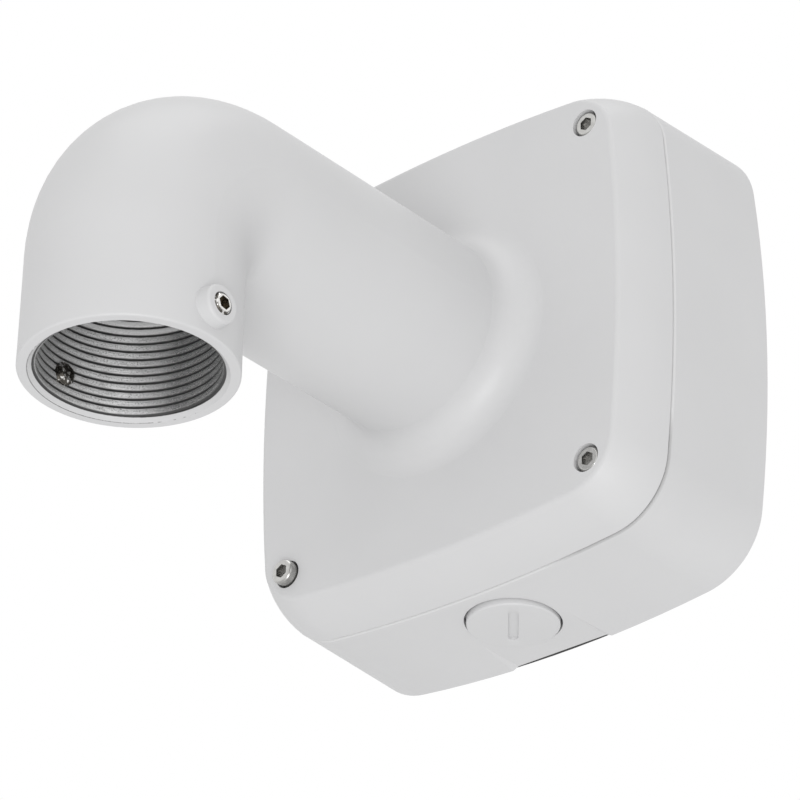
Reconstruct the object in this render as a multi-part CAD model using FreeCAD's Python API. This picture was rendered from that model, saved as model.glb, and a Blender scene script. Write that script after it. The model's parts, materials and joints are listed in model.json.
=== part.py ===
"""Wall bracket for a hanging camera: cast arm and cover on a cast back box.

Millimetres. X points right, +Y into the wall and Z up. The origin is on the wall plane, in the middle of
the four fixing holes. The bracket stands out from the wall towards -Y.
"""
import FreeCAD, Part
import math
import os

from FreeCAD import Vector

# Wall gasket
WALL_GASKET_THICKNESS = 1.5
WALL_GASKET_INSET = 1.9
WALL_GASKET_WIDTH = 8.0

# Back box, outline at the wall and at the seam
BOX_DEPTH = 37.8
BOX_BACK_HALF = 70.5
BOX_BACK_BOW = 405.0
BOX_BACK_CORNER = 20.9
SEAM_HALF = 68.3
SEAM_BOW = 480.0
SEAM_CORNER = 19.2
BOX_WALL = 3.5
BOX_FLOOR = 4.0
BOX_EDGE_ROUND = 0.8
RIM_WIDTH = 5.5
RIM_DEPTH = 5.0

# Cover gasket in the seam
COVER_GASKET_THICKNESS = 0.8
COVER_GASKET_INSET = 1.4
COVER_GASKET_WIDTH = 3.4

# Cover
COVER_DEPTH = 15.8
COVER_FACE_HALF = 62.4
COVER_FACE_BOW = 480.0
COVER_FACE_CORNER = 15.0
COVER_SIDE_BULGE = 0.9
COVER_EDGE_ROUND = 1.6
COVER_WALL = 4.0

# Arm, elbow and pipe socket, outwards from the thread
THREAD_MAJOR_RADIUS = 23.9
THREAD_DEPTH = 31.0
MOUTH_CHAMFER = 1.1
SOCKET_WALL = 3.8
SOCKET_DROP = 59.8
SOCKET_DRAFT = 0.1
ARM_DRAFT = 0.3
ARM_REACH = 170.75
CROTCH_RADIUS = 1.3
DUCT_STEP = 3.4
DUCT_MOUTH_ROUND = 6.0
FLARE_RADIUS = 9.5
RIM_ROUND = 0.6

# Set screws and their bosses on the socket
SET_SCREW_HEIGHT = 8.1
SET_SCREW_RADIUS = 3.0
SET_SCREW_PROUD = 0.5
SET_SCREW_TIP_GAP = 0.2
SET_SCREW_KEY = 3.0
SET_SCREW_KEY_DEPTH = 3.2
BOSS_HEIGHT = 3.4
BOSS_RADIUS = 5.2
BOSS_FOOT = 0.8
BOSS_ROUND = 0.8

# Cover screws, M4 socket head, with their axes inset from the seam's sides
SCREW_INSET = 16.8
SCREW_RADIUS = 2.0
SCREW_LENGTH = 18.0
SCREW_HEAD_RADIUS = 3.5
SCREW_HEAD_HEIGHT = 4.0
SCREW_HEAD_CHAMFER = 0.35
SCREW_KEY = 3.0
SCREW_KEY_DEPTH = 2.0
SCREW_RECESS = 0.5
LOOSE_SCREW_LIFT = 3.1
COUNTERBORE_CLEARANCE = 0.5
SHANK_CLEARANCE = 0.25
THREAD_CLEARANCE = 0.05
SEAL_THICKNESS = 1.0
SEAL_CLEARANCE = 0.15
SCREW_POST_RADIUS = 6.0
SCREW_HOLE_RUNOUT = 2.5
POST_WEB = 4.0

# Fixing holes and cable hole in the box's floor
FIXING_PITCH_X = 76.0
FIXING_PITCH_Z = 76.0
FIXING_HOLE_RADIUS = 3.25
FIXING_PAD_RADIUS = 7.5
FIXING_PAD_HEIGHT = 1.5
CABLE_HOLE_RADIUS = 19.0
CABLE_COLLAR_WALL = 3.0
CABLE_COLLAR_HEIGHT = 3.0

# Conduit plug in the bottom of the box, on a level pad
PLUG_DEPTH = 20.8
PAD_HALF_WIDTH = 15.2
PAD_RAMP_ANGLE = 25.0
PLUG_HEAD_RADIUS = 12.3
PLUG_HEAD_HEIGHT = 3.0
PLUG_HEAD_ROUND = 1.0
PLUG_HEAD_CLEARANCE = 0.95
PLUG_HEAD_PROUD = 0.9
PLUG_SHANK_RADIUS = 10.0
PLUG_SHANK_LENGTH = 8.0
PLUG_BORE_RADIUS = 7.5
PLUG_SLOT_WIDTH = 2.4
PLUG_SLOT_LENGTH = 16.4
PLUG_SLOT_DEPTH = 0.8
PLUG_SLOT_TURN = 39.5
PLUG_SEAL_THICKNESS = 1.2
PLUG_SEAL_WIDTH = 2.0
CONDUIT_BOSS_WALL = 3.4
CONDUIT_BOSS_HEIGHT = 9.5

# Earth point on the box's floor, near its top wall
EARTH_X = -20.0
EARTH_INSET = 16.5
EARTH_POST_RADIUS = 5.0
EARTH_POST_HEIGHT = 8.0
EARTH_WASHER_RADIUS = 4.3
EARTH_WASHER_THICKNESS = 0.9
EARTH_HEAD_RADIUS = 3.6
EARTH_HEAD_HEIGHT = 2.6
EARTH_HEAD_ROUND = 0.8
EARTH_SCREW_LENGTH = 7.0
EARTH_SLOT_WIDTH = 0.9
EARTH_SLOT_DEPTH = 1.1

# Radii and places worked out from the sizes above
SOCKET_RADIUS = THREAD_MAJOR_RADIUS + SOCKET_WALL
ELBOW_RADIUS = SOCKET_RADIUS - SOCKET_DRAFT
ARM_RADIUS = ELBOW_RADIUS + ARM_DRAFT
BEND_RADIUS = ELBOW_RADIUS + CROTCH_RADIUS
DUCT_RADIUS = THREAD_MAJOR_RADIUS - DUCT_STEP
BOSS_FACE = SOCKET_RADIUS + BOSS_HEIGHT
SET_SCREW_Z = -SOCKET_DROP + SET_SCREW_HEIGHT
SCREW_OFFSET = SEAM_HALF - SCREW_INSET
EARTH_Z = BOX_BACK_HALF - EARTH_INSET

# Planes worked out from the sizes above, as distances from the wall
BACK_PLANE = WALL_GASKET_THICKNESS
FLOOR_PLANE = BACK_PLANE + BOX_FLOOR
BOX_RIM_PLANE = BACK_PLANE + BOX_DEPTH
STEP_PLANE = BOX_RIM_PLANE - RIM_DEPTH
COVER_RIM_PLANE = BOX_RIM_PLANE + COVER_GASKET_THICKNESS
FACE_PLANE = COVER_RIM_PLANE + COVER_DEPTH
COVER_INNER_PLANE = FACE_PLANE - COVER_WALL
HEAD_TOP_PLANE = FACE_PLANE - SCREW_RECESS
SEAL_TOP_PLANE = HEAD_TOP_PLANE - SCREW_HEAD_HEIGHT
SEAL_SEAT_PLANE = SEAL_TOP_PLANE - SEAL_THICKNESS
BEND_PLANE = ARM_REACH - BEND_RADIUS
PLUG_PLANE = BACK_PLANE + PLUG_DEPTH

# Reach of cuts past the faces that they open, and how far an edge may lie from the plane it is sought on
OVERSHOOT = 5.0
EDGE_TOLERANCE = 0.01
BELOW_BOX_Z = -max(BOX_BACK_HALF, SEAM_HALF) - OVERSHOOT
SIDES = {"right": 1, "left": -1}
CORNERS = {
    "top_left": (-1, 1),
    "top_right": (1, 1),
    "bottom_left": (-1, -1),
    "bottom_right": (1, -1),
}


def outwards(depth):
    """Y coordinate of a plane that lies this far from the wall."""
    return -depth


def polar(centre, radius, angle, depth):
    """Point on a circle about centre (x, z), in the plane at this depth."""
    x = centre[0] + radius * math.cos(angle)
    z = centre[1] + radius * math.sin(angle)
    return Vector(x, outwards(depth), z)


def bowed_square(half, bow, corner, depth):
    """Closed wire of a rounded square whose four sides bulge as arcs of radius bow."""
    shift = bow - half
    reach = bow - corner
    mid = (-shift + math.sqrt(2 * reach * reach - shift * shift)) / 2
    spread = math.atan2(mid, mid + shift)
    half_corner = math.pi / 4 - spread
    edges = []
    for turn in range(4):
        angle = turn * math.pi / 2
        diagonal = angle + math.pi / 4
        side_centre = (-shift * math.cos(angle), -shift * math.sin(angle))
        corner_centre = (math.sqrt(2) * mid * math.cos(diagonal), math.sqrt(2) * mid * math.sin(diagonal))
        side = [polar(side_centre, bow, angle + step * spread, depth) for step in (-1, 0, 1)]
        bend = [polar(corner_centre, corner, diagonal + step * half_corner, depth) for step in (-1, 0, 1)]
        edges.append(Part.Arc(*side).toShape())
        edges.append(Part.Arc(*bend).toShape())
    return Part.Wire(edges)


def outline_solid(sections, smooth=False):
    """Solid through rounded squares, each given as (half, bow, corner, depth)."""
    wires = [bowed_square(*section) for section in sections]
    return Part.makeLoft(wires, True, not smooth)


def inset(section, amount, depth=None):
    """The same rounded square moved inwards by amount, and to another depth if one is given."""
    half, bow, corner, old_depth = section
    return (half - amount, bow - amount, corner - amount, old_depth if depth is None else depth)


def box_section(depth):
    """Outer outline of the back box at a depth between the wall and the seam."""
    share = (depth - BACK_PLANE) / BOX_DEPTH
    half = BOX_BACK_HALF + share * (SEAM_HALF - BOX_BACK_HALF)
    bow = BOX_BACK_BOW + share * (SEAM_BOW - BOX_BACK_BOW)
    corner = BOX_BACK_CORNER + share * (SEAM_CORNER - BOX_BACK_CORNER)
    return (half, bow, corner, depth)


def cover_section(share):
    """Outer outline of the cover, from its rim (0) to its face (1), with sides that bulge most halfway."""
    bulge = COVER_SIDE_BULGE * (1 - (2 * share - 1) ** 2)
    half = SEAM_HALF + share * (COVER_FACE_HALF - SEAM_HALF) + bulge
    bow = SEAM_BOW + share * (COVER_FACE_BOW - SEAM_BOW)
    corner = SEAM_CORNER + share * (COVER_FACE_CORNER - SEAM_CORNER)
    return (half, bow, corner, COVER_RIM_PLANE + share * COVER_DEPTH)


def post(x, z, radius, near, far):
    """Cylinder square to the wall, between two distances from it."""
    return Part.makeCylinder(radius, far - near, Vector(x, outwards(near), z), Vector(0, -1, 0))


def ring(x, z, outer, inner, near, far):
    """Flat ring square to the wall."""
    return post(x, z, outer, near, far).cut(post(x, z, inner, near, far))


def slab(low, high):
    """Box between two opposite corners."""
    return Part.makeBox(high[0] - low[0], high[1] - low[1], high[2] - low[2], Vector(*low))


def edges_in_plane(shape, axis, position):
    """Edges of a shape that lie in the plane at this position along an axis, "Y" or "Z"."""
    found = []
    for edge in shape.Edges:
        low = getattr(edge.BoundBox, axis + "Min")
        high = getattr(edge.BoundBox, axis + "Max")
        if max(abs(low - position), abs(high - position)) < EDGE_TOLERANCE:
            found.append(edge)
    return found


def revolved(points_and_arcs, base, axis):
    """Turned solid from a closed profile of points, where a pair is an arc's middle and its end."""
    edges = []
    start = points_and_arcs[0]
    here = start
    for item in points_and_arcs[1:] + [start]:
        if isinstance(item, tuple):
            edges.append(Part.Arc(here, item[0], item[1]).toShape())
            here = item[1]
        else:
            edges.append(Part.LineSegment(here, item).toShape())
            here = item
    return Part.Face(Part.Wire(edges)).revolve(base, axis, 360)


def round_between(centre, radius, first, middle):
    """Quarter arc's middle point and end point about a centre, from two unit directions."""
    half = (first + middle).normalize()
    return (centre + half * radius, centre + middle * radius)


def hexagon(across_flats, length, base, direction):
    """Six-sided prism for a key socket."""
    corner = across_flats / math.sqrt(3)
    points = []
    for step in range(7):
        angle = step * math.pi / 3
        points.append(Vector(corner * math.cos(angle), corner * math.sin(angle), 0))
    prism = Part.Face(Part.makePolygon(points)).extrude(Vector(0, 0, length))
    prism.Placement = FreeCAD.Placement(base, FreeCAD.Rotation(Vector(0, 0, 1), direction))
    return prism


def tapered(start_radius, end_radius, base, run):
    """Round bar that changes evenly from one radius to the other along a run in the plane x = 0."""
    profile = [
        base,
        base + Vector(start_radius, 0, 0),
        base + run + Vector(end_radius, 0, 0),
        base + run,
    ]
    return revolved(profile, base, run)


def tube_along_arm(elbow_radius, arm_radius, socket_radius, drop, end_plane):
    """Socket, elbow and arm as one solid, up to a plane at end_plane from the wall."""
    foot = Vector(0, outwards(ARM_REACH), -drop)
    bend_start = Vector(0, outwards(ARM_REACH), -BEND_RADIUS)
    bend_centre = Vector(0, outwards(BEND_PLANE), -BEND_RADIUS)
    bend_end = Vector(0, outwards(BEND_PLANE), 0)
    socket = tapered(socket_radius, elbow_radius, foot, bend_start - foot)
    section = Part.Face(Part.Wire(Part.makeCircle(elbow_radius, bend_start, Vector(0, 0, 1))))
    elbow = section.revolve(bend_centre, Vector(-1, 0, 0), 90)
    arm = tapered(elbow_radius, arm_radius, bend_end, Vector(0, BEND_PLANE - end_plane, 0))
    return socket.fuse([elbow, arm])


def flare():
    """Concave turned flare between the arm and the cover's face."""
    start = FACE_PLANE + FLARE_RADIUS
    centre = Vector(ARM_RADIUS + FLARE_RADIUS, outwards(start), 0)
    profile = [
        Vector(0, outwards(start), 0),
        Vector(ARM_RADIUS, outwards(start), 0),
        round_between(centre, FLARE_RADIUS, Vector(-1, 0, 0), Vector(0, 1, 0)),
        Vector(ARM_RADIUS + FLARE_RADIUS, outwards(COVER_INNER_PLANE), 0),
        Vector(0, outwards(COVER_INNER_PLANE), 0),
    ]
    return revolved(profile, Vector(0, 0, 0), Vector(0, 1, 0))


def duct_mouth():
    """Rounded end of the cable duct, where it opens into the cover."""
    centre = Vector(DUCT_RADIUS + DUCT_MOUTH_ROUND, outwards(COVER_INNER_PLANE + DUCT_MOUTH_ROUND), 0)
    profile = [
        Vector(0, centre.y, 0),
        Vector(DUCT_RADIUS, centre.y, 0),
        round_between(centre, DUCT_MOUTH_ROUND, Vector(-1, 0, 0), Vector(0, 1, 0)),
        Vector(centre.x, outwards(COVER_INNER_PLANE - OVERSHOOT), 0),
        Vector(0, outwards(COVER_INNER_PLANE - OVERSHOOT), 0),
    ]
    return revolved(profile, Vector(0, 0, 0), Vector(0, 1, 0))


def set_boss(side):
    """Rounded boss round a set screw, from the bore to the boss's face, kept above the rim."""
    base = Vector(0, outwards(ARM_REACH), SET_SCREW_Z)
    inner = THREAD_MAJOR_RADIUS
    foot = BOSS_RADIUS + BOSS_FOOT
    centre = base + Vector(side * (BOSS_FACE - BOSS_ROUND), 0, BOSS_RADIUS - BOSS_ROUND)
    profile = [
        base + Vector(side * inner, 0, 0),
        base + Vector(side * inner, 0, foot),
        base + Vector(side * (BOSS_FACE - BOSS_ROUND), 0, BOSS_RADIUS),
        round_between(centre, BOSS_ROUND, Vector(0, 0, 1), Vector(side, 0, 0)),
        base + Vector(side * BOSS_FACE, 0, 0),
    ]
    room = slab((-BOSS_FACE, outwards(ARM_REACH + foot), -SOCKET_DROP),
                (BOSS_FACE, outwards(ARM_REACH - foot), SET_SCREW_Z + foot))
    return revolved(profile, base, Vector(1, 0, 0)).common(room)


def socket_bore():
    """Everything that is cut from the socket: thread bore at its major diameter, and mouth chamfer."""
    rim = Vector(0, outwards(ARM_REACH), -SOCKET_DROP)
    bore = Part.makeCylinder(THREAD_MAJOR_RADIUS, THREAD_DEPTH, rim, Vector(0, 0, 1))
    chamfer = Part.makeCone(THREAD_MAJOR_RADIUS + MOUTH_CHAMFER, THREAD_MAJOR_RADIUS, MOUTH_CHAMFER,
                            rim, Vector(0, 0, 1))
    return bore.fuse(chamfer)


def cover_shell():
    """The cover: bowed sides, flat face with a rounded edge, hollow behind, with four screw posts."""
    shell = outline_solid([cover_section(share) for share in (0, 0.5, 1)], smooth=True)
    shell = shell.makeFillet(COVER_EDGE_ROUND, edges_in_plane(shell, "Y", outwards(FACE_PLANE)))
    rim = inset(cover_section(0), RIM_WIDTH, COVER_RIM_PLANE - OVERSHOOT)
    deep = inset(cover_section(1), COVER_WALL, COVER_INNER_PLANE)
    shell = shell.cut(outline_solid([rim, inset(cover_section(0), RIM_WIDTH), deep]))
    for side, height in CORNERS.values():
        pillar = post(side * SCREW_OFFSET, height * SCREW_OFFSET, SCREW_POST_RADIUS,
                      BOX_RIM_PLANE, FACE_PLANE - COVER_WALL / 2)
        shell = shell.fuse(pillar)
    return shell


def screw_hole(side, height):
    """Stepped hole in the cover for one cap screw and its sealing ring."""
    x = side * SCREW_OFFSET
    z = height * SCREW_OFFSET
    head = post(x, z, SCREW_HEAD_RADIUS + COUNTERBORE_CLEARANCE, SEAL_SEAT_PLANE, FACE_PLANE + OVERSHOOT)
    shank = post(x, z, SCREW_RADIUS + SHANK_CLEARANCE, BACK_PLANE, SEAL_SEAT_PLANE)
    return head.fuse(shank)


def bracket_arm():
    """The arm casting: socket, elbow, arm, flare and cover in one piece, with its duct and holes."""
    outer = tube_along_arm(ELBOW_RADIUS, ARM_RADIUS, SOCKET_RADIUS, SOCKET_DROP, FACE_PLANE)
    outer = outer.makeFillet(RIM_ROUND, edges_in_plane(outer, "Z", -SOCKET_DROP))
    outer = outer.fuse([flare(), cover_shell()] + [set_boss(side) for side in SIDES.values()])
    duct = tube_along_arm(DUCT_RADIUS, DUCT_RADIUS, DUCT_RADIUS, SOCKET_DROP - THREAD_DEPTH / 2,
                          COVER_INNER_PLANE + DUCT_MOUTH_ROUND)
    casting = outer.cut(duct).cut(duct_mouth()).cut(socket_bore())
    for side, height in CORNERS.values():
        casting = casting.cut(screw_hole(side, height))
    for side in SIDES.values():
        start = Vector(0, outwards(ARM_REACH), SET_SCREW_Z)
        casting = casting.cut(Part.makeCylinder(SET_SCREW_RADIUS + THREAD_CLEARANCE, BOSS_FACE + OVERSHOOT,
                                                start, Vector(side, 0, 0)))
    return casting.removeSplitter()


def screw_post(side, height, outer):
    """Post for one cover screw in the box, with a web that ties it to the corner."""
    x = side * SCREW_OFFSET
    z = height * SCREW_OFFSET
    pillar = post(x, z, SCREW_POST_RADIUS, FLOOR_PLANE - BOX_FLOOR / 2, BOX_RIM_PLANE)
    web_length = BOX_BACK_HALF - SCREW_OFFSET
    web = slab((0, outwards(STEP_PLANE), -POST_WEB / 2),
               (web_length, outwards(FLOOR_PLANE - BOX_FLOOR / 2), POST_WEB / 2))
    angle = math.degrees(math.atan2(height, side))
    web.rotate(Vector(0, 0, 0), Vector(0, -1, 0), angle)
    web.translate(Vector(x, 0, z))
    return pillar.fuse(web).common(outer)


def pad_z():
    """Height of the level pad, which is that of the box's sloping bottom at the plug's axis."""
    return -box_section(PLUG_PLANE)[0]


def plug_face_z():
    """Height of the conduit plug's outer face."""
    return pad_z() - PLUG_HEAD_PROUD


def plug_seat_z():
    """Height of the counterbore's floor, on which the plug's seal lies."""
    return plug_face_z() + PLUG_HEAD_HEIGHT + PLUG_SEAL_THICKNESS


def upright(radius, low, high):
    """Upright cylinder on the conduit plug's axis."""
    return Part.makeCylinder(radius, high - low, Vector(0, outwards(PLUG_PLANE), low), Vector(0, 0, 1))


def conduit_pad(outer):
    """Material cut from the bottom of the box to leave a level pad with sloping sides."""
    spread = (pad_z() - BELOW_BOX_Z) / math.tan(math.radians(PAD_RAMP_ANGLE))
    points = [
        Vector(-PAD_HALF_WIDTH, 0, pad_z()),
        Vector(PAD_HALF_WIDTH, 0, pad_z()),
        Vector(PAD_HALF_WIDTH + spread, 0, BELOW_BOX_Z),
        Vector(-PAD_HALF_WIDTH - spread, 0, BELOW_BOX_Z),
    ]
    wedge = Part.Face(Part.makePolygon(points + points[:1]))
    return wedge.extrude(Vector(0, outwards(BOX_RIM_PLANE), 0)).common(outer)


def back_box():
    """The box casting: walls, floor, posts, conduit boss, fixing pads, cable collar and earth post."""
    outer = outline_solid([box_section(BACK_PLANE), box_section(BOX_RIM_PLANE)])
    outer = outer.makeFillet(BOX_EDGE_ROUND, edges_in_plane(outer, "Y", outwards(BOX_RIM_PLANE)))
    cavity = outline_solid([inset(box_section(plane), BOX_WALL) for plane in (FLOOR_PLANE, STEP_PLANE)])
    mouth = outline_solid([inset(box_section(STEP_PLANE), RIM_WIDTH),
                           inset(box_section(BOX_RIM_PLANE), RIM_WIDTH, BOX_RIM_PLANE + OVERSHOOT)])
    casting = outer.cut(cavity).cut(mouth)
    for side, height in CORNERS.values():
        casting = casting.fuse(screw_post(side, height, outer))
        x = side * FIXING_PITCH_X / 2
        z = height * FIXING_PITCH_Z / 2
        casting = casting.fuse(post(x, z, FIXING_PAD_RADIUS, 0, FLOOR_PLANE + FIXING_PAD_HEIGHT))
    boss_radius = PLUG_HEAD_RADIUS + PLUG_HEAD_CLEARANCE + CONDUIT_BOSS_WALL
    bore_top = pad_z() + CONDUIT_BOSS_HEIGHT
    boss = upright(boss_radius, BELOW_BOX_Z, bore_top).common(outer)
    collar = post(0, 0, CABLE_HOLE_RADIUS + CABLE_COLLAR_WALL, BACK_PLANE, FLOOR_PLANE + CABLE_COLLAR_HEIGHT)
    earth = post(EARTH_X, EARTH_Z, EARTH_POST_RADIUS, BACK_PLANE, FLOOR_PLANE + EARTH_POST_HEIGHT)
    casting = casting.fuse([boss, collar, earth])
    casting = casting.cut(conduit_pad(outer))
    casting = casting.cut(post(0, 0, CABLE_HOLE_RADIUS, -OVERSHOOT, FLOOR_PLANE + CABLE_COLLAR_HEIGHT))
    tip = SEAL_TOP_PLANE - SCREW_LENGTH
    for side, height in CORNERS.values():
        x = side * FIXING_PITCH_X / 2
        z = height * FIXING_PITCH_Z / 2
        casting = casting.cut(post(x, z, FIXING_HOLE_RADIUS, -OVERSHOOT, FLOOR_PLANE + OVERSHOOT))
        x = side * SCREW_OFFSET
        z = height * SCREW_OFFSET
        tapped = post(x, z, SCREW_RADIUS + THREAD_CLEARANCE, tip - SCREW_HOLE_RUNOUT, BOX_RIM_PLANE)
        casting = casting.cut(tapped)
    casting = casting.cut(upright(PLUG_SHANK_RADIUS + THREAD_CLEARANCE, BELOW_BOX_Z, bore_top))
    casting = casting.cut(upright(PLUG_HEAD_RADIUS + PLUG_HEAD_CLEARANCE, BELOW_BOX_Z, plug_seat_z()))
    earth_top = FLOOR_PLANE + EARTH_POST_HEIGHT
    casting = casting.cut(post(EARTH_X, EARTH_Z, SCREW_RADIUS + THREAD_CLEARANCE,
                               earth_top - EARTH_SCREW_LENGTH, earth_top))
    return casting.removeSplitter()


def cap_screw(side, height, lift):
    """Socket head cap screw, with its head's top at HEAD_TOP_PLANE when it is home."""
    x = side * SCREW_OFFSET
    z = height * SCREW_OFFSET
    top = HEAD_TOP_PLANE + lift
    under = top - SCREW_HEAD_HEIGHT
    head = post(x, z, SCREW_HEAD_RADIUS, under, top)
    head = head.makeChamfer(SCREW_HEAD_CHAMFER, edges_in_plane(head, "Y", outwards(top)))
    screw = head.fuse(post(x, z, SCREW_RADIUS, under - SCREW_LENGTH, under))
    key = hexagon(SCREW_KEY, SCREW_KEY_DEPTH, Vector(x, outwards(top), z), Vector(0, 1, 0))
    return screw.cut(key)


def cap_screw_seal(side, height):
    """Rubber ring in the counterbore, under the screw's head."""
    return ring(side * SCREW_OFFSET, height * SCREW_OFFSET, SCREW_HEAD_RADIUS,
                SCREW_RADIUS + SEAL_CLEARANCE, SEAL_SEAT_PLANE, SEAL_TOP_PLANE)


def set_screw(side):
    """Socket set screw, backed out so that its point stands just behind the thread's root."""
    inner = THREAD_MAJOR_RADIUS + SET_SCREW_TIP_GAP
    outer = BOSS_FACE + SET_SCREW_PROUD
    direction = Vector(side, 0, 0)
    start = Vector(side * inner, outwards(ARM_REACH), SET_SCREW_Z)
    end = Vector(side * outer, outwards(ARM_REACH), SET_SCREW_Z)
    body = Part.makeCylinder(SET_SCREW_RADIUS, outer - inner, start, direction)
    return body.cut(hexagon(SET_SCREW_KEY, SET_SCREW_KEY_DEPTH, end, direction * -1))


def wall_gasket():
    """Black gasket ring between the back of the box and the wall."""
    outer = box_section(BACK_PLANE)
    near = inset(outer, WALL_GASKET_INSET, 0)
    far = inset(outer, WALL_GASKET_INSET)
    hole_near = inset(outer, WALL_GASKET_INSET + WALL_GASKET_WIDTH, 0)
    hole_far = inset(outer, WALL_GASKET_INSET + WALL_GASKET_WIDTH)
    return outline_solid([near, far]).cut(outline_solid([hole_near, hole_far]))


def cover_gasket():
    """Rubber ring in the seam between the box's rim and the cover's rim."""
    outer = (SEAM_HALF, SEAM_BOW, SEAM_CORNER, BOX_RIM_PLANE)
    outside = inset(outer, COVER_GASKET_INSET)
    inside = inset(outer, COVER_GASKET_INSET + COVER_GASKET_WIDTH)
    band = outline_solid([outside, inset(outside, 0, COVER_RIM_PLANE)])
    return band.cut(outline_solid([inside, inset(inside, 0, COVER_RIM_PLANE)]))


def conduit_plug():
    """Slotted blanking plug, hollow from inside the box."""
    face = plug_face_z()
    shoulder = face + PLUG_HEAD_HEIGHT
    top = shoulder + PLUG_SHANK_LENGTH
    head = upright(PLUG_HEAD_RADIUS, face, shoulder)
    head = head.makeFillet(PLUG_HEAD_ROUND, edges_in_plane(head, "Z", face))
    plug = head.fuse(upright(PLUG_SHANK_RADIUS, shoulder, top)).cut(upright(PLUG_BORE_RADIUS, shoulder, top))
    half_run = (PLUG_SLOT_LENGTH - PLUG_SLOT_WIDTH) / 2
    slot = slab((-PLUG_SLOT_WIDTH / 2, -half_run, 0), (PLUG_SLOT_WIDTH / 2, half_run, PLUG_SLOT_DEPTH))
    for end in (-half_run, half_run):
        slot = slot.fuse(Part.makeCylinder(PLUG_SLOT_WIDTH / 2, PLUG_SLOT_DEPTH, Vector(0, end, 0)))
    slot.rotate(Vector(0, 0, 0), Vector(0, 0, 1), PLUG_SLOT_TURN)
    slot.translate(Vector(0, outwards(PLUG_PLANE), face))
    return plug.cut(slot)


def conduit_plug_seal():
    """Rubber ring between the plug's head and the floor of its counterbore."""
    top = plug_seat_z()
    low = top - PLUG_SEAL_THICKNESS
    inner = PLUG_SHANK_RADIUS + SEAL_CLEARANCE
    return upright(inner + PLUG_SEAL_WIDTH, low, top).cut(upright(inner, low, top))


def earth_washer():
    """Plain washer on the earth post."""
    near = FLOOR_PLANE + EARTH_POST_HEIGHT
    return ring(EARTH_X, EARTH_Z, EARTH_WASHER_RADIUS, SCREW_RADIUS + SHANK_CLEARANCE,
                near, near + EARTH_WASHER_THICKNESS)


def earth_screw():
    """Slotted pan head screw on the earth post."""
    under = FLOOR_PLANE + EARTH_POST_HEIGHT + EARTH_WASHER_THICKNESS
    top = under + EARTH_HEAD_HEIGHT
    head = post(EARTH_X, EARTH_Z, EARTH_HEAD_RADIUS, under, top)
    head = head.makeFillet(EARTH_HEAD_ROUND, edges_in_plane(head, "Y", outwards(top)))
    shank = post(EARTH_X, EARTH_Z, SCREW_RADIUS, under - EARTH_SCREW_LENGTH, under)
    half = EARTH_SLOT_WIDTH / 2
    slot = slab((EARTH_X - EARTH_HEAD_RADIUS, outwards(top), EARTH_Z - half),
                (EARTH_X + EARTH_HEAD_RADIUS, outwards(top - EARTH_SLOT_DEPTH), EARTH_Z + half))
    return head.fuse(shank).cut(slot)


def pieces():
    """Every piece of the bracket by the name of its node."""
    named = {
        "bracket_arm": bracket_arm(),
        "back_box": back_box(),
        "wall_gasket": wall_gasket(),
        "cover_gasket": cover_gasket(),
        "conduit_plug": conduit_plug(),
        "conduit_plug_seal": conduit_plug_seal(),
        "earth_screw": earth_screw(),
        "earth_washer": earth_washer(),
    }
    for corner, (side, height) in CORNERS.items():
        lift = LOOSE_SCREW_LIFT if corner == "bottom_left" else 0.0
        named["cover_screw_" + corner] = cap_screw(side, height, lift)
        named["cover_screw_seal_" + corner] = cap_screw_seal(side, height)
    for side_name, side in SIDES.items():
        named["set_screw_" + side_name] = set_screw(side)
    return named


def main():
    """Write one STEP file for each piece."""
    os.makedirs("parts", exist_ok=True)
    for name, shape in pieces().items():
        shape.exportStep("parts/" + name + ".step")
        print(name, "solids", len(shape.Solids), "valid", shape.isValid(), "volume", round(shape.Volume, 1))


main()
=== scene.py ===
"""Looks of a wall bracket for a hanging camera: white coated castings, steel screws and a cut pipe thread.

Metres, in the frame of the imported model: X points right, +Y into the wall and Z up. The castings, the seals
and the earth point are the model's own nodes with a finish. The screws, the plug and the socket's thread are
modelled here in finer detail, in the places that the model gives, and the wall gasket is a little wider.
"""
import json
import logging
import math
from dataclasses import dataclass
from enum import Enum
from typing import Callable, Iterable, Sequence

import bmesh
import bpy
from bmesh.types import BMesh, BMVert
from bpy.types import Material, NodeOutputs, NodeSocket, Object
from mathutils import Matrix, Vector

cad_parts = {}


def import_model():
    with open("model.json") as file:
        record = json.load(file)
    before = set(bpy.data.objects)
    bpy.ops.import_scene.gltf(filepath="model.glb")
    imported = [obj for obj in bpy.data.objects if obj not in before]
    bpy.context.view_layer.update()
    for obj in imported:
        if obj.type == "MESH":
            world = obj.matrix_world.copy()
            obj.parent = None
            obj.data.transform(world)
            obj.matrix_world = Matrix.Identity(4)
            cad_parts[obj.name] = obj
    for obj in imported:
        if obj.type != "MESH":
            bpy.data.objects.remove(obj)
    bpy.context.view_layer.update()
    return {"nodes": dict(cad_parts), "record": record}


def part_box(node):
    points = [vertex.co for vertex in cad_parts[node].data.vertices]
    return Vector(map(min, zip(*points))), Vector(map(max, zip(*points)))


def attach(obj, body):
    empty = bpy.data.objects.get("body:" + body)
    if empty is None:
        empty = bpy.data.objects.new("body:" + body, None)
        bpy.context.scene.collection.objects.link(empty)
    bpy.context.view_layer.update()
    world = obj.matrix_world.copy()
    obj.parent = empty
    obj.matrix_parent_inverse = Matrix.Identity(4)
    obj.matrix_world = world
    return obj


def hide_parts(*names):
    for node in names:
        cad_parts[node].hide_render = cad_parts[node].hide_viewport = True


LOG = logging.getLogger("bracket")
MM = 0.001
BODY = "root"
TURNING = "turning"  # name of the map that a modelled piece carries
WELD = 1e-7  # distance below which two points are one
SHARP = math.radians(50)
SMOOTH = math.radians(32)
CONE_STEPS = 24
RIM_SEARCH = 30 * MM  # reach round the socket's axis in which its rim is looked for
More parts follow.
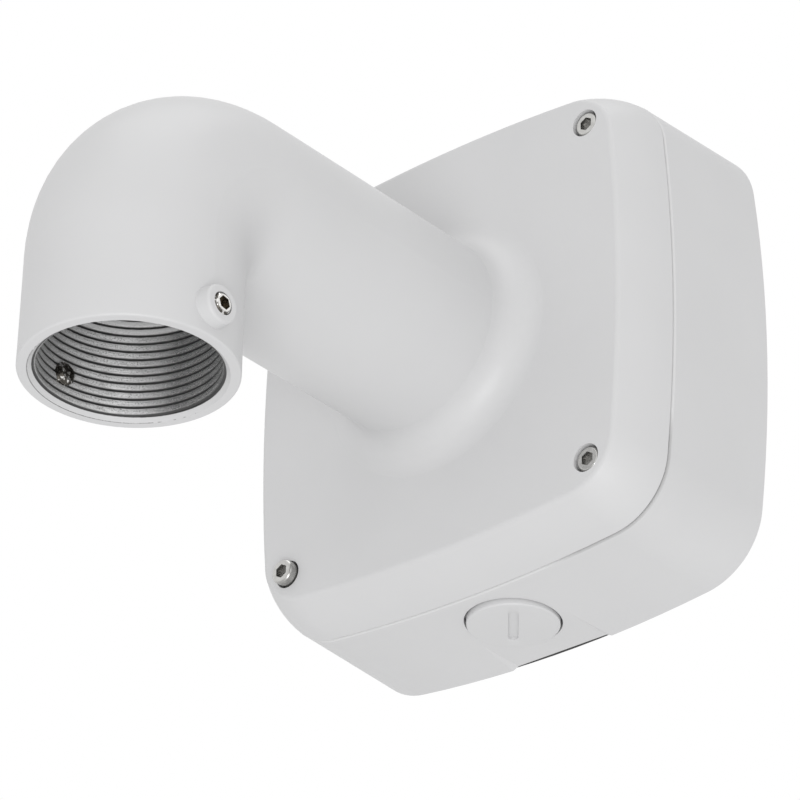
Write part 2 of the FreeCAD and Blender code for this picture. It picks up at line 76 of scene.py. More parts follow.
NOISE_SPAN = (0.3, 0.7)  # stretch that nearly all of a noise lies in
NOISE_CORE = (0.35, 0.65)  # its busy middle
METAL = 1.0
WHITE = (1.0, 1.0, 1.0)
Z_AXIS = Vector((0, 0, 1))
Span = tuple[float, float]
Profile = Sequence[tuple[float, float]]
Colour = tuple[float, float, float]


class Slot(Enum):
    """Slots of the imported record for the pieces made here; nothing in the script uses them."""

    SCREW_STEEL = "screw_steel"
    GASKET_RUBBER = "gasket_rubber"
    PLUG_COAT = "plug_coat"


class Corner(Enum):
    """Corners of the cover, each with a cap screw."""

    TOP_LEFT = "top_left"
    TOP_RIGHT = "top_right"
    BOTTOM_LEFT = "bottom_left"
    BOTTOM_RIGHT = "bottom_right"


class Side(Enum):
    """Sides of the socket, each with a set screw. The value is the sign of X."""

    RIGHT = 1
    LEFT = -1

    @property
    def node(self) -> str:
        """Name of this side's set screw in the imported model."""
        return "set_screw_" + self.name.lower()


class Graph:
    """Node tree of a material or world, with short calls that add and join nodes."""

    def __init__(self, name: str, kind: str = "materials", shader: str = "Principled BSDF") -> None:
        """Start a material or a world.

        Args:
            name: Name of the material or world.
            kind: Where it goes in bpy.data.
            shader: Node that its tree ends in.
        """
        self.owner = getattr(bpy.data, kind).new(name)
        self.owner.use_nodes = True
        self.tree = self.owner.node_tree
        self.shader = self.tree.nodes[shader]

    def feed(self, socket: NodeSocket, value: object) -> None:
        """Join a socket to another, or write a plain value into it."""
        if isinstance(value, NodeSocket):
            self.tree.links.new(value, socket)
        else:
            socket.default_value = value

    def node(
        self, kind: str, output: str | int, inputs: dict[str | int, object] | None = None, **settings: str
    ) -> NodeSocket:
        """Add a node.

        Args:
            kind: Blender's type name of the node.
            output: Name or number of the wanted output.
            inputs: Sockets or plain values for its inputs, by name or number.
            settings: Properties of the node and their values.

        Returns:
            The wanted output.
        """
        node = self.tree.nodes.new(kind)
        for name, setting in settings.items():
            setattr(node, name, setting)
        for name, value in (inputs or {}).items():
            self.feed(node.inputs[name], value)
        return node.outputs[output]

    def vectors(self, operation: str, first: object, second: object, output: str = "Vector") -> NodeSocket:
        """Result of a Vector Math node's operation on two vectors."""
        return self.node("ShaderNodeVectorMath", output, {0: first, 1: second}, operation=operation)

    def mapped(
        self, coordinates: NodeSocket, scale: Vector | None, shift: Vector | None = None
    ) -> NodeSocket:
        """Coordinates moved by shift and then scaled along the three axes."""
        moved = self.vectors("ADD", coordinates, shift or Vector((0, 0, 0)))
        return self.vectors("MULTIPLY", moved, scale or Vector((1, 1, 1)))

    def place(self, scale: Vector | None = None, shift: Vector | None = None) -> NodeSocket:
        """Object coordinates in metres, moved by shift and then scaled."""
        return self.mapped(self.node("ShaderNodeTexCoord", "Object"), scale, shift)

    def layer(self, scale: Vector | None = None) -> NodeSocket:
        """Coordinates from the piece's own map, in millimetres, scaled."""
        return self.mapped(self.node("ShaderNodeUVMap", "UV", uv_map=TURNING), scale)

    def split(self, coordinates: NodeSocket) -> NodeOutputs:
        """Coordinates as three numbers, named X, Y and Z."""
        return self.node("ShaderNodeSeparateXYZ", "X", {0: coordinates}).node.outputs

    def radius_from(self, axis: Vector) -> NodeSocket:
        """Distance from the upright line through a point, in metres."""
        flat = self.place(Vector((1, 1, 0)), -axis)
        return self.node("ShaderNodeVectorMath", "Value", {0: flat}, operation="LENGTH")

    def noise(
        self, coordinates: NodeSocket, scale: float, detail: float, roughness: float = 0.5
    ) -> NodeSocket:
        """Smooth noise from 0 to 1.

        Args:
            coordinates: Socket with the coordinates.
            scale: Cells for each unit of the coordinates.
            detail: Octaves of finer noise.
            roughness: Share of each finer octave.

        Returns:
            Socket with the noise.
        """
        inputs = {"Vector": coordinates, "Scale": scale, "Detail": detail, "Roughness": roughness}
        return self.node("ShaderNodeTexNoise", "Fac", inputs)

    def spread(
        self, value: NodeSocket, low: float, high: float, start: float = 0.0, end: float = 1.0
    ) -> NodeSocket:
        """A value's stretch from low to high, spread over start to end and held beyond."""
        inputs = {"Value": value, "From Min": low, "From Max": high, "To Min": start, "To Max": end}
        return self.node("ShaderNodeMapRange", "Result", inputs)

    def reckon(self, operation: str, first: object, second: object = 0.0) -> NodeSocket:
        """Result of a Math node's operation on one or two values."""
        return self.node("ShaderNodeMath", "Value", {0: first, 1: second}, operation=operation)

    def product(self, first: NodeSocket, *others: object) -> NodeSocket:
        """Product of two or more values."""
        for other in others:
            first = self.reckon("MULTIPLY", first, other)
        return first

    def mix(self, kind: str, share: object, first: object, second: object) -> NodeSocket:
        """Value between two values of one kind, which is RGBA, FLOAT or VECTOR."""
        inputs = {"Factor": share, "A": first, "B": second}
        return self.node("ShaderNodeMix", "Result", inputs, data_type=kind)

    def blend(self, share: object, first: object, second: object) -> NodeSocket:
        """Colour between two colours."""
        return self.mix("RGBA", share, first, second)

    def bump(self, height: NodeSocket, depth: float, under: NodeSocket | None = None) -> NodeSocket:
        """Surface direction roughened by a height of 0 to 1 that stands for a depth in metres."""
        inputs = {"Distance": depth, "Height": height}
        if under is not None:
            inputs["Normal"] = under
        return self.node("ShaderNodeBump", "Normal", inputs)

    def finish(
        self, colour: object, roughness: object, surface: NodeSocket, metallic: object = 0.0
    ) -> Material:
        """Feed the shader and return its material.

        Args:
            colour: Base colour.
            roughness: Roughness.
            surface: Surface direction.
            metallic: Share of bare metal.
        """
        values = {"Base Color": colour, "Roughness": roughness, "Normal": surface, "Metallic": metallic}
        for name, value in values.items():
            self.feed(self.shader.inputs[name], value)
        return self.owner


def rgba(colour: Colour) -> tuple[float, float, float, float]:
    """Opaque colour with its fourth value."""
    return (*colour, 1.0)


@dataclass(frozen=True)
class PowderCoat:
    """White powder coat: a soft gloss over a very fine orange peel."""

    name: str
    colour: Colour = (0.655, 0.655, 0.66)
    shade: Colour = (0.64, 0.64, 0.645)
    roughness: Span = (0.38, 0.48)
    peel_size: float = 1.1 * MM
    peel_depth: float = 0.006 * MM
    grain_size: float = 0.25 * MM
    grain_depth: float = 0.003 * MM
    cloud_size: float = 40 * MM

    def coat(self, graph: Graph) -> tuple[NodeSocket, NodeSocket, NodeSocket]:
        """Build the coat's colour, roughness and surface direction."""
        place = graph.place()
        clouds = graph.noise(place, 1 / self.cloud_size, 3.0)
        peel = graph.noise(place, 1 / self.peel_size, 1.0)
        grain = graph.noise(place, 1 / self.grain_size, 2.0)
        tint = graph.blend(graph.spread(clouds, *NOISE_CORE), rgba(self.shade), rgba(self.colour))
        rough = graph.spread(grain, *NOISE_SPAN, *self.roughness)
        surface = graph.bump(grain, self.grain_depth, graph.bump(peel, self.peel_depth))
        return tint, rough, surface

    def material(self) -> Material:
        """The coat as a material of its own."""
        graph = Graph(self.name)
        return graph.finish(*self.coat(graph))


@dataclass(frozen=True)
class SeamShadedCoat:
    """Coat of the back box, with painted shade in the seam along its rim and a painted highlight on the lip
    beside it.

    The painted shade lies at the lower right corner, where the seam stands open.
    """

    coat: PowderCoat
    rim_y: float
    # Painted shade in the seam: its colour, share, reach from the rim, and the spans that keep it to the
    # lower right corner.
    seam_shade: Colour = (0.20, 0.20, 0.20)
    seam_shade_share: float = 0.40
    seam_shade_width: Span = (0.35 * MM, 0.75 * MM)
    seam_shade_right: Span = (24 * MM, 36 * MM)
    seam_shade_low: Span = (-36 * MM, -43 * MM)
    # Painted highlight on the lip beside the seam, all along the rim: its colour, share and reach from the
    # rim.
    lip: Colour = (0.74, 0.74, 0.74)
    lip_highlight_share: float = 0.9
    lip_highlight_width: Span = (0.20 * MM, 0.70 * MM)

    def material(self) -> Material:
        """Mix the coat with the painted seam shade and the painted lip highlight by the distance from the
        rim.
        """
        graph = Graph(self.coat.name)
        tint, rough, surface = self.coat.coat(graph)
        place = graph.split(graph.place())
        reach = graph.reckon("SUBTRACT", place["Y"], self.rim_y)
        # Share of the painted highlight on the lip.
        on_lip = graph.spread(reach, *self.lip_highlight_width, self.lip_highlight_share, 0.0)
        # Painted shade in the seam, near the lower right corner only.
        seam_shaded = graph.product(
            graph.spread(reach, *self.seam_shade_width, self.seam_shade_share, 0.0),
            graph.spread(place["X"], *self.seam_shade_right),
            graph.spread(place["Z"], *self.seam_shade_low),
        )
        tint = graph.blend(on_lip, tint, rgba(self.lip))
        return graph.finish(graph.blend(seam_shaded, tint, rgba(self.seam_shade)), rough, surface)


@dataclass(frozen=True)
class RawCasting:
    """Uncoated cast aluminium inside the socket, grey and grainy."""

    colour: Colour = (0.50, 0.50, 0.50)
    pit: Colour = (0.20, 0.20, 0.20)
    pit_span: Span = (0.35, 0.6)
    roughness: float = 0.5
    grain_size: float = 0.35 * MM
    grain_depth: float = 0.05 * MM

    def skin(self, graph: Graph) -> tuple[NodeSocket, NodeSocket]:
        """Build the bare metal's colour and surface direction."""
        grain = graph.noise(graph.place(), 1 / self.grain_size, 3.0, 0.6)
        tint = graph.blend(graph.spread(grain, *self.pit_span), rgba(self.pit), rgba(self.colour))
        return tint, graph.bump(grain, self.grain_depth)


@dataclass(frozen=True)
class CoatedCasting:
    """Coat on the outside of the arm casting, and bare metal inside its socket and duct.

    The coat is chipped in a thin broken line along the sharp lip of the mouth, mostly on its left.
    """

    coat: PowderCoat
    bare: RawCasting
    axis: Vector
    bare_radius: float
    bare_top: float
    rim_z: float
    lip_radius: float
    chip_width: float = 0.22 * MM
    chip_height: float = 0.4 * MM
    chip_size: float = 1.3 * MM
    chip_side: Span = (-20 * MM, -3 * MM)
    chip_share: Span = (0.85, 0.28)

    def material(self) -> Material:
        """Mix the two finishes by the distance from the socket's axis."""
        graph = Graph(self.coat.name)
        tint, rough, surface = self.coat.coat(graph)
        bare_tint, bare_surface = self.bare.skin(graph)
        radius = graph.radius_from(self.axis)
        place = graph.split(graph.place())
        inside = graph.reckon("LESS_THAN", radius, self.bare_radius)
        below = graph.reckon("LESS_THAN", place["Z"], self.bare_top)
        chipped = self.chips(graph, radius, place)
        share = graph.reckon("MAXIMUM", graph.product(inside, below), chipped)
        return graph.finish(
            graph.blend(share, tint, bare_tint),
            graph.mix("FLOAT", share, rough, self.bare.roughness),
            graph.mix("VECTOR", share, surface, bare_surface),
            share,
        )

    def chips(self, graph: Graph, radius: NodeSocket, place: NodeOutputs) -> NodeSocket:
        """Places where the coat is worn off the lip, by the radius and the separated coordinates."""
        off_lip = graph.reckon("ABSOLUTE", graph.reckon("SUBTRACT", radius, self.lip_radius))
        on_lip = graph.reckon("LESS_THAN", off_lip, self.chip_width / 2)
        low = graph.reckon("LESS_THAN", place["Z"], self.rim_z + self.chip_height)
        share = graph.spread(place["X"], *self.chip_side, *self.chip_share)
        patches = graph.noise(graph.place(), 1 / self.chip_size, 2.0)
        return graph.product(on_lip, low, graph.reckon("LESS_THAN", patches, share))


@dataclass(frozen=True)
class TurnedSteel:
    """Stainless steel with the fine rings that turning leaves, read from the piece's own map.

    Painted shade darkens the key's socket, and a little of it the head's side, below the top. The map gives
    millimetres.
    """

    name: str
    colour: Colour = (0.60, 0.595, 0.58)
    dark: Colour = (0.50, 0.495, 0.48)
    # Painted shade: its colour, the heights below the top over which it sets in, and its share in and outside
    # the key's socket.
    painted_shade: Colour = (0.12, 0.115, 0.11)
    painted_shade_height: Span = (-0.1, -0.6)
    socket_reach: Span = (2.1, 2.5)
    painted_shade_share: Span = (0.42, 0.32)
    roughness: Span = (0.18, 0.32)
    stain_size: float = 1.5 * MM
    ring_size: float = 0.16
    ring_depth: float = 0.004 * MM

    def material(self) -> Material:
        """Build the steel."""
        graph = Graph(self.name)
        place = graph.split(graph.layer())
        # Painted shade, below the top, in the key's socket and on the head's side.
        below = graph.spread(place["Y"], *self.painted_shade_height)
        painted_shade_mask = graph.product(below, graph.spread(place["X"], *self.socket_reach, *self.painted_shade_share))
        stain = graph.noise(graph.place(), 1 / self.stain_size, 3.0)
        tint = graph.blend(graph.spread(stain, *NOISE_CORE), rgba(self.dark), rgba(self.colour))
        rings = graph.noise(graph.layer(), 1 / self.ring_size, 3.0, 0.7)
        return graph.finish(
            graph.blend(painted_shade_mask, tint, rgba(self.painted_shade)),
            graph.spread(rings, *NOISE_SPAN, *self.roughness),
            graph.bump(rings, self.ring_depth),
            METAL,
        )


@dataclass(frozen=True)
class WornSteel:
    """Darkened steel of the set screws, bright on the end faces and in patches on the thread: partly worn,
    partly painted glints.

    The faces and the key's socket are told by the radius and height, in millimetres, in the piece's own map.
    """

    name: str
    colour: Colour = (0.105, 0.097, 0.085)
    # Bright colour of worn steel, which also serves as painted glints.
    bright: Colour = (0.88, 0.87, 0.85)
    socket: Colour = (0.36, 0.33, 0.28)
    roughness: Span = (0.20, 0.34)
    patch_size: float = 1.1 * MM
    patch_span: Span = (0.54, 0.62)
    point_height: Span = (0.1, 0.3)
    face_height: Span = (-0.25, -0.05)
    face_share: float = 0.85
    face_reach: Span = (2.5, 2.3)
    socket_reach: Span = (1.9, 2.1)
    grain_size: float = 0.5 * MM
    grain_depth: float = 0.01 * MM

    def material(self) -> Material:
        """Build the steel."""
        graph = Graph(self.name)
        place = graph.split(graph.layer())
        on_point = graph.spread(place["Y"], *self.point_height)
        outside = graph.reckon("MAXIMUM", graph.spread(place["X"], *self.socket_reach), on_point)
        patches = graph.noise(graph.place(), 1 / self.patch_size, 2.0)
        on_thread = graph.product(graph.spread(patches, *self.patch_span), outside)
        top = graph.spread(place["Y"], *self.face_height, 0.0, self.face_share)
        end = graph.reckon("SUBTRACT", top, on_point)
        on_face = graph.product(end, graph.spread(place["X"], *self.face_reach))
        # Worn steel and painted glints: bright patches on the thread and bright end faces.
        worn_and_glint_share = graph.reckon("MAXIMUM", on_thread, on_face)
        base = graph.blend(outside, rgba(self.socket), rgba(self.colour))
        grain = graph.noise(graph.place(), 1 / self.grain_size, 3.0, 0.6)
        return graph.finish(
            graph.blend(worn_and_glint_share, base, rgba(self.bright)),
            graph.spread(grain, *NOISE_SPAN, *self.roughness),
            graph.bump(grain, self.grain_depth),
            METAL,
        )


@dataclass(frozen=True)
class CutThread:
    """Rough bare aluminium of the cut pipe thread: grey torn lands, bright specks and grooves darkened by
    painted shade.

    Painted shade darkens the lands to the right, along X, to the left, along Y, and towards each land's lower
    edge.
    Near the top they are painted paler, partly as paler metal, partly as painted light. Streaks and grain
    have their sizes in millimetres of the piece's own map.
    """

    name: str
    axis: Vector
    crest_radius: float
    root_radius: float
    pitch: float
    smooth_z: float
    colour: Colour = (0.97, 0.97, 0.97)
    # Painted shade on the lands to the right and the left: its colour, spans and share.
    painted_side_shade: Colour = (0.13, 0.13, 0.13)
    side_shade_right: Span = (-17 * MM, -6 * MM)
    side_shade_left: Span = (-157 * MM, -178 * MM)
    side_shade_left_share: float = 0.75
    # Share of the paler colour near the top: partly paler metal, partly painted light.
    smooth_and_lit_share: float = 0.7
    pit: Colour = (0.16, 0.16, 0.16)
    pit_span: Span = (0.35, 0.49)
    spark: Colour = (0.97, 0.97, 0.97)
    spark_span: Span = (0.56, 0.62)
    spark_share: float = 0.9
    spark_fineness: float = 2.6
    # Painted shade in the grooves and towards each land's lower edge: its colour, and the phase, share and
    # spans of both.
    painted_shade: Colour = (0.05, 0.05, 0.05)
    edge_phase: Span = (0.12, 0.36)
    edge_share: float = 0.25
    groove_span: Span = (0.10, 0.45)
    groove_fray: float = 0.15
    stain: Colour = (0.45, 0.33, 0.16)
    stain_place: Vector = Vector((0.0052, -0.1478, -0.0505))
    stain_radius: float = 0.45 * MM
    metallic: float = 0.05
    roughness: Span = (0.40, 0.56)
    streak_length: float = 5.0
    streak_width: float = 0.22
    streak_span: Span = (0.50, 0.34)
    streak_share: float = 0.60
    streak_height: float = 0.5
    grain_size: float = 0.42
    grain_depth: float = 0.09 * MM

    def material(self) -> Material:
        """Build the metal."""
        graph = Graph(self.name)
        along = graph.layer(Vector((1 / self.streak_length, 1 / self.streak_width, 0)))
        streaks = graph.noise(along, 1.0, 2.0)
        grain = graph.noise(graph.layer(), 1 / self.grain_size, 4.0, 0.7)
        fine = graph.noise(graph.layer(), self.spark_fineness / self.grain_size, 2.0, 0.6)
        place = graph.split(graph.place())
        # Painted shade to the right and the left of the bore's far wall.
        right = graph.spread(place["X"], *self.side_shade_right)
        left = graph.spread(place["Y"], *self.side_shade_left, 0.0, self.side_shade_left_share)
        # Paler near the top: partly paler metal, partly painted light.
        smooth_and_lit = graph.spread(place["Z"], self.smooth_z, self.smooth_z + MM, 0.0, self.smooth_and_lit_share)
        land = graph.blend(graph.reckon("MAXIMUM", right, left), rgba(self.colour), rgba(self.painted_side_shade))
        tint = graph.blend(graph.spread(grain, *self.pit_span), rgba(self.pit), land)
        for share, colour in (
            (graph.spread(streaks, *self.streak_span, 0.0, self.streak_share), self.pit),
            # Painted shade towards each land's lower edge.
            (self.lower_edge(graph), self.painted_shade),
            (graph.spread(fine, *self.spark_span, 0.0, self.spark_share), self.spark),
            (smooth_and_lit, self.spark),
            # Painted shade in the grooves.
            (self.groove(graph, grain), self.painted_shade),
            (self.stained(graph), self.stain),
        ):
            tint = graph.blend(share, tint, rgba(colour))
        height = graph.reckon("ADD", grain, graph.reckon("MULTIPLY", streaks, self.streak_height))
        return graph.finish(
            tint,
            graph.spread(fine, *NOISE_CORE, *self.roughness),
            graph.bump(height, self.grain_depth),
            self.metallic,
        )

    def lower_edge(self, graph: Graph) -> NodeSocket:
        """Share of painted shade on each land, which grows towards the land's lower edge."""
        turn = graph.split(graph.layer(Vector((MM / (2 * math.pi * self.root_radius), 0, 0))))["X"]
        rise = graph.split(graph.place(Vector((1, 1, 1 / self.pitch))))["Z"]
        phase = graph.reckon("FRACT", graph.reckon("ADD", turn, rise))
        return graph.spread(phase, *self.edge_phase, self.edge_share, 0.0)

    def groove(self, graph: Graph, grain: NodeSocket) -> NodeSocket:
        """Share of painted shade in the grooves, with an edge frayed by the grain."""
        depth = graph.spread(graph.radius_from(self.axis), self.crest_radius, self.root_radius)
        fray = graph.spread(grain, *NOISE_SPAN, -self.groove_fray, self.groove_fray)
        return graph.spread(graph.reckon("ADD", depth, fray), *self.groove_span)

    def stained(self, graph: Graph) -> NodeSocket:
        """Share of the small brown stain on the far wall."""
        reach = graph.vectors("DISTANCE", graph.place(), self.stain_place, "Value")
        return graph.spread(reach, self.stain_radius, self.stain_radius / 2)


@dataclass(frozen=True)
class GrainyFinish:
    """Finish in two colours, mixed by its own fine grain."""

    name: str
    low: Colour
    high: Colour
    span: Span
    roughness: Span
    grain_size: float
    grain_depth: float
    grain_detail: float
    grain_roughness: float
    metallic: float

    def material(self) -> Material:
        """Build the finish."""
        graph = Graph(self.name)
        grain = graph.noise(graph.place(), 1 / self.grain_size, self.grain_detail, self.grain_roughness)
        return graph.finish(
            graph.blend(graph.spread(grain, *self.span), rgba(self.low), rgba(self.high)),
            graph.spread(grain, *NOISE_SPAN, *self.roughness),
            graph.bump(grain, self.grain_depth),
            self.metallic,
        )


EARTH_STEEL = GrainyFinish(
    "earth_steel", low=(0.42, 0.41, 0.40), high=(0.60, 0.59, 0.56), span=(0.3, 0.6), roughness=(0.22, 0.36),
    grain_size=0.5 * MM, grain_depth=0.004 * MM, grain_detail=4.0, grain_roughness=0.6, metallic=METAL,
)
BLACK_RUBBER = GrainyFinish(
    "black_rubber", low=(0.022, 0.022, 0.023), high=(0.050, 0.048, 0.046), span=(0.45, 0.7),
    roughness=(0.6, 0.8), grain_size=0.6 * MM, grain_depth=0.02 * MM, grain_detail=3.0, grain_roughness=0.5,
    metallic=0.0,
)


def turned(profile: Profile, steps: int, closed: bool = False) -> BMesh:
    """Turn a profile about the Z axis.

    Args:
        profile: Points of (radius, height). An open profile starts and ends on the axis.
        steps: Segments of the full turn.
        closed: True if the profile's last point joins its first, as on a ring.

    Returns:
        Closed mesh in metres.
    """
    mesh = bmesh.new()
    points = [mesh.verts.new((radius, 0, height)) for radius, height in profile]
    ends = points[1:] + points[:1] if closed else points[1:]
    edges = [mesh.edges.new(pair) for pair in zip(points, ends)]
    bmesh.ops.spin(
        mesh, geom=points + edges, cent=(0, 0, 0), axis=Z_AXIS, angle=2 * math.pi, steps=steps,
        use_merge=True,
    )
    bmesh.ops.remove_doubles(mesh, verts=mesh.verts, dist=WELD)
    bmesh.ops.recalc_face_normals(mesh, faces=mesh.faces)
    return mesh


def prism(sides: int, radius: float, low: float, high: float, turn: float = 0.0) -> BMesh:
    """Make an upright prism about the Z axis.

    Args:
        sides: Corners of its outline.
        radius: Distance of the corners from the axis.
        low: Height of its foot.
        high: Height of its top.
        turn: Angle of the first corner, in radians.

    Returns:
        Closed mesh in metres.
    """
    mesh = bmesh.new()
    bmesh.ops.create_cone(
        mesh, cap_ends=True, segments=sides, radius1=radius, radius2=radius, depth=high - low,
        matrix=Matrix.Translation((0, 0, (low + high) / 2)) @ Matrix.Rotation(turn, 4, "Z"),
    )
    return mesh


def rounded_step(radius: float, height: float, size: float, segments: int) -> Profile:
    """Points of a rounded outer edge between the top face at height and the side at radius."""
    points = []
    for step in range(segments + 1):
        angle = math.pi / 2 * (1 - step / segments)
        points.append((radius - size + size * math.cos(angle), height - size + size * math.sin(angle)))
    return points


def ease(mesh: BMesh, size: float, where: Callable[[Vector], bool]) -> None:
    """Round the mesh's sharp edges.

    Args:
        mesh: Mesh to change.
        size: Width of the round, in metres.
        where: Tells from an edge's middle if it is to be rounded.
    """
    edges = []
    for edge in mesh.edges:
        middle = (edge.verts[0].co + edge.verts[1].co) / 2
        if edge.is_manifold and edge.calc_face_angle() > SHARP and where(middle):
            edges.append(edge)
    bmesh.ops.bevel(
        mesh, geom=edges, offset=size, offset_type="OFFSET", segments=2, profile=0.5,
        affect="EDGES", clamp_overlap=True, material=-1,
    )


def in_mesh(mesh: BMesh, name: str) -> Object:
    """Object that shows a mesh, linked to the scene. The bmesh is freed."""
    data = bpy.data.meshes.new(name)
    mesh.to_mesh(data)
    mesh.free()
    thing = bpy.data.objects.new(name, data)
    bpy.context.scene.collection.objects.link(thing)
    return thing


def cut_away(body: BMesh, tools: Iterable[BMesh]) -> BMesh:
    """Cut tools out of a body.

    Args:
        body: Closed mesh that is cut. It is freed.
        tools: Closed meshes that are taken away. They are freed.

    Returns:
        What is left of the body.
    """
    block = in_mesh(body, "block")
    cutters = [in_mesh(tool, "cutter") for tool in tools]
    for cutter in cutters:
        modifier = block.modifiers.new("cut", "BOOLEAN")
        modifier.operation = "DIFFERENCE"
        modifier.solver = "EXACT"
        modifier.object = cutter
    shown = block.evaluated_get(bpy.context.evaluated_depsgraph_get())
    rest = bmesh.new()
    rest.from_mesh(shown.to_mesh())
    shown.to_mesh_clear()
    for thing in [block, *cutters]:
        data = thing.data
        bpy.data.objects.remove(thing)
        bpy.data.meshes.remove(data)
    bmesh.ops.remove_doubles(rest, verts=rest.verts, dist=WELD)
    return rest


def key_socket(key: float, depth: float, cone: float, turn: float = 0.0) -> list[BMesh]:
    """Make the bodies that cut a key's hexagon and the drill's cone under it into a screw.

    Args:
        key: Width across the hexagon's flats.
        depth: Depth of the hexagon below the screw's top, which is at the origin.
        cone: Depth of the cone's tip below the hexagon.
        turn: Angle of the hexagon's first corner, in radians.

    Returns:
        The hexagon and the cone, both closed.
    """
    hexagon = prism(6, key / math.sqrt(3), -depth, MM, turn)
    drilled = turned([(0, -depth - cone), (key / 2, -depth), (0, MM)], CONE_STEPS)
    return [hexagon, drilled]


def map_turning(mesh: BMesh) -> None:
    """Write each corner's radius and height about the Z axis, in millimetres, into the piece's own map."""
    layer = mesh.loops.layers.uv.new(TURNING)
    for face in mesh.faces:
        for loop in face.loops:
            place = loop.vert.co
            loop[layer].uv = (math.hypot(place.x, place.y) / MM, place.z / MM)


def pointing(origin: Vector, direction: Vector) -> Matrix:
    """Move that brings the Z axis to a direction from an origin."""
    return Matrix.Translation(origin) @ direction.to_track_quat("Z", "Y").to_matrix().to_4x4()


def finished(
    mesh: BMesh,
    name: str,
    material: Material,
    smooth_below: float = SMOOTH,
    replaces: str | None = None,
) -> Object:
    """Turn a mesh into a piece of the object that rides on the bracket.

    Args:
        mesh: Mesh in its place. It is freed.
        name: Name of the piece.
        material: Its finish.
        smooth_below: Angle between faces, in radians, up to which they are shaded as one surface.
        replaces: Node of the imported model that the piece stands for.

    Returns:
        The piece.
    """
    bmesh.ops.recalc_face_normals(mesh, faces=mesh.faces)
    piece = in_mesh(mesh, name)
    piece.data.polygons.foreach_set("use_smooth", [True] * len(piece.data.polygons))
    piece.data.set_sharp_from_angle(angle=smooth_below)
    piece.data.materials.append(material)
    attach(piece, BODY)
    if replaces:
        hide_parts(replaces)
    LOG.info("%s: %d faces", name, len(piece.data.polygons))
    return piece


def dress(node: Object, material: Material) -> None:
    """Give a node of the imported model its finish."""
    node.data.materials.clear()
    node.data.materials.append(material)
    LOG.info("%s: %s", node.name, material.name)


@dataclass(frozen=True)
class ScrewThread:
    """Outside thread of a small screw: a groove that winds round its shank."""

    pitch: float
    depth: float
    rows_per_turn: int
    steepness: float = 1.25

    def rows(self, low: float, high: float) -> list[float]:
        """Heights at which a threaded stretch needs points."""
        count = max(2, math.ceil((high - low) / self.pitch * self.rows_per_turn))
        return [low + (high - low) * step / count for step in range(count + 1)]

    def cut(self, mesh: BMesh, radius: float, low: float, high: float) -> None:
        """Press the groove into the points that reach over it. It runs out over half a turn at each end.

        Args:
            mesh: Turned mesh about the Z axis, with points at the heights that rows gives.
            radius: Radius of the shank.
            low: Height at which the thread starts.
            high: Height at which it ends.
        """
        for vert in mesh.verts:
            reach = math.hypot(vert.co.x, vert.co.y)
            if low <= vert.co.z <= high and radius - self.depth < reach < radius + WELD:
                turn = math.atan2(vert.co.y, vert.co.x) / (2 * math.pi)
                phase = (vert.co.z / self.pitch - turn) % 1.0
                groove = min(1.0, self.steepness * abs(2 * phase - 1))
                end = min(1.0, (vert.co.z - low) / self.pitch * 2, (high - vert.co.z) / self.pitch * 2)
                vert.co.xy *= min(1.0, (radius - self.depth * groove * end) / reach)


SET_THREAD = ScrewThread(1.0 * MM, 0.42 * MM, 12)


@dataclass
class CapScrew:
    """Socket head cap screw of the cover."""

    corner: Corner
    head_height: float = 4.0 * MM
    chamfer: float = 0.4 * MM
    top_round: float = 0.12 * MM
    shank_radius: float = 2.0 * MM
    neck: float = 4.0 * MM
    plain_foot: float = 0.4 * MM
    key: float = 3.5 * MM
    key_depth: float = 1.7 * MM
    key_cone: float = 0.4 * MM
    edge_round: float = 0.10 * MM
    steps: int = 96
    thread: ScrewThread = ScrewThread(0.7 * MM, 0.4 * MM, 6)

    @property
    def node(self) -> str:
        """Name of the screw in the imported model."""
        return "cover_screw_" + self.corner.value

    def build(self, radius: float, length: float) -> BMesh:
        """Turn the head and shank, and cut the key's socket.

        Args:
            radius: Radius of the head.
            length: Length over all.

        Returns:
            Mesh with the head's top at the origin and the shank towards -Z.
        """
        under = -self.head_height
        foot = -length
        threaded = (foot + self.plain_foot, under - self.neck)
        shank = [(self.shank_radius, z) for z in reversed(self.thread.rows(*threaded))]
        profile = [
            (0, 0),
            (radius - self.chamfer - self.top_round, 0),
            (radius - self.chamfer, -self.top_round / 3),
            (radius - self.top_round / 3, -self.chamfer),
            (radius, -self.chamfer - self.top_round),
            (radius, under + self.top_round),
            (radius - self.top_round, under),
            (self.shank_radius, under),
            *shank,
            (self.shank_radius - self.thread.depth, foot),
            (0, foot),
        ]
        mesh = turned(profile, self.steps)
        self.thread.cut(mesh, self.shank_radius, *threaded)
        mesh = cut_away(mesh, key_socket(self.key, self.key_depth, self.key_cone))
        ease(mesh, self.edge_round, lambda place: place.z > -self.edge_round)
        map_turning(mesh)
        return mesh

    def make(self, steel: Material) -> Object:
        """Put the screw in its counterbore."""
        low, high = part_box(self.node)
        top = Vector(((low.x + high.x) / 2, low.y, (low.z + high.z) / 2))
        mesh = self.build((high.x - low.x) / 2, high.y - low.y)
        mesh.transform(pointing(top, Vector((0, -1, 0))))
        return finished(mesh, self.node + "_turned", steel, replaces=self.node)


